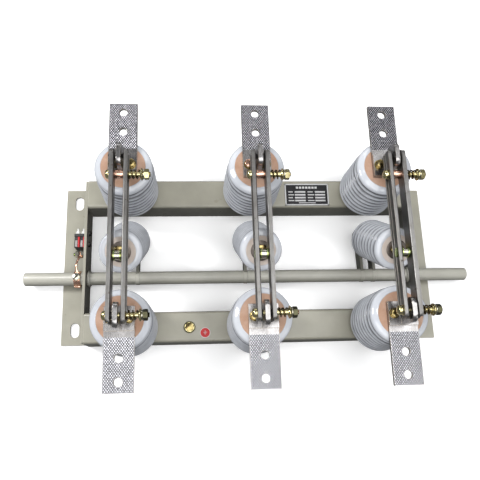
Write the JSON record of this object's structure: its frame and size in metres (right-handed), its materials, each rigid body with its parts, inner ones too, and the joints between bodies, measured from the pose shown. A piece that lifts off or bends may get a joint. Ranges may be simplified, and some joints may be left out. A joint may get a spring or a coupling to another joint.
{
  "type": "three-pole knife disconnect switch",
  "caption": "Indoor gang-operated knife disconnector: ribbed post insulators on a steel frame, twin channel blades worked by a common shaft through draw-rod insulators.",
  "frame": {"origin": "centre of the object at the underside of its frame", "axes": "+X along the operating shaft, +Y from the hinge insulators to the jaw insulators, +Z from the frame towards the blades"},
  "size_m": [0.934, 0.537, 0.251],
  "materials": {
    "frame_paint": "satin grey-beige enamel over steel",
    "porcelain": "glossy pale blue-grey glaze, tan unglazed end face",
    "tinned_copper": "tin-plated copper, slightly dull",
    "zinc_plated_steel": "yellow-passivated zinc plating",
    "copper": "bare copper",
    "black_moulding": "matt black moulding",
    "plate_enamel": "black plate with a pale border"
  },
  "bodies": {
    "frame": {"end_angle_left": "frame_paint", "end_angle_right": "frame_paint", "shaft_bearing_left": "frame_paint", "shaft_bearing_right": "frame_paint", "hinge_rail": "frame_paint", "jaw_rail": "frame_paint", "stop_block": "black_moulding", "stop_block_nuts": "zinc_plated_steel", "rating_plate": "plate_enamel", "earthing_bolt": "zinc_plated_steel", "hinge_contact_bolts": "zinc_plated_steel", "jaw_contact_bolts": "zinc_plated_steel", "hinge_post_bolts": "zinc_plated_steel", "jaw_post_bolts": "zinc_plated_steel", "left_pole_hinge_insulator": "porcelain", "left_pole_hinge_contact": "tinned_copper", "left_pole_jaw_insulator": "porcelain", "left_pole_jaw_contact": "tinned_copper", "centre_pole_hinge_insulator": "porcelain", "centre_pole_hinge_contact": "tinned_copper", "centre_pole_jaw_insulator": "porcelain", "centre_pole_jaw_contact": "tinned_copper", "right_pole_hinge_insulator": "porcelain", "right_pole_hinge_contact": "tinned_copper", "right_pole_jaw_insulator": "porcelain", "right_pole_jaw_contact": "tinned_copper"},
    "shaft": {"operating_shaft": "frame_paint", "shaft_earth_clamp": "copper", "left_pole_crank": "frame_paint", "centre_pole_crank": "frame_paint", "right_pole_crank": "frame_paint"},
    "left_pole_blades": {"left_pole_left_blade": "tinned_copper", "left_pole_right_blade": "tinned_copper", "left_pole_bolts": "zinc_plated_steel", "left_pole_springs": "zinc_plated_steel", "left_pole_spacer": "copper"},
    "left_pole_draw_rod": {"left_pole_draw_insulator": "porcelain", "left_pole_draw_rod_ends": "zinc_plated_steel"},
    "centre_pole_blades": {"centre_pole_left_blade": "tinned_copper", "centre_pole_right_blade": "tinned_copper", "centre_pole_bolts": "zinc_plated_steel", "centre_pole_springs": "zinc_plated_steel", "centre_pole_spacer": "copper"},
    "centre_pole_draw_rod": {"centre_pole_draw_insulator": "porcelain", "centre_pole_draw_rod_ends": "zinc_plated_steel"},
    "right_pole_blades": {"right_pole_left_blade": "tinned_copper", "right_pole_right_blade": "tinned_copper", "right_pole_bolts": "zinc_plated_steel", "right_pole_springs": "zinc_plated_steel", "right_pole_spacer": "copper"},
    "right_pole_draw_rod": {"right_pole_draw_insulator": "porcelain", "right_pole_draw_rod_ends": "zinc_plated_steel"}
  },
  "joints": [
    {"name": "shaft_turn", "type": "hinge", "parent": "frame", "child": "shaft", "pos_m": [0, -0.0345, 0.028], "axis": [1, 0, 0], "range_deg": [0, 63]},
    {"name": "left_blade_swing", "type": "hinge", "parent": "frame", "child": "left_pole_blades", "pos_m": [-0.25, -0.1425, 0.233], "axis": [1, 0, 0], "range_deg": [0, 54.7]},
    {"name": "left_draw_rod_swing", "type": "hinge", "parent": "left_pole_blades", "child": "left_pole_draw_rod", "pos_m": [-0.25, -0.04, 0.233], "axis": [1, 0, 0], "range_deg": [-54.4, 0]},
    {"name": "centre_blade_swing", "type": "hinge", "parent": "frame", "child": "centre_pole_blades", "pos_m": [0, -0.1425, 0.233], "axis": [1, 0, 0], "range_deg": [0, 54.7]},
    {"name": "centre_draw_rod_swing", "type": "hinge", "parent": "centre_pole_blades", "child": "centre_pole_draw_rod", "pos_m": [0, -0.04, 0.233], "axis": [1, 0, 0], "range_deg": [-54.4, 0]},
    {"name": "right_blade_swing", "type": "hinge", "parent": "frame", "child": "right_pole_blades", "pos_m": [0.25, -0.1425, 0.233], "axis": [1, 0, 0], "range_deg": [0, 54.7]},
    {"name": "right_draw_rod_swing", "type": "hinge", "parent": "right_pole_blades", "child": "right_pole_draw_rod", "pos_m": [0.25, -0.04, 0.233], "axis": [1, 0, 0], "range_deg": [-54.4, 0]}
  ],
  "couplings": [
    {"joint": "left_blade_swing", "follows": "shaft_turn", "ratio": 0.867},
    {"joint": "left_draw_rod_swing", "follows": "shaft_turn", "ratio": -0.862},
    {"joint": "centre_blade_swing", "follows": "shaft_turn", "ratio": 0.867},
    {"joint": "centre_draw_rod_swing", "follows": "shaft_turn", "ratio": -0.862},
    {"joint": "right_blade_swing", "follows": "shaft_turn", "ratio": 0.867},
    {"joint": "right_draw_rod_swing", "follows": "shaft_turn", "ratio": -0.862}
  ]
}
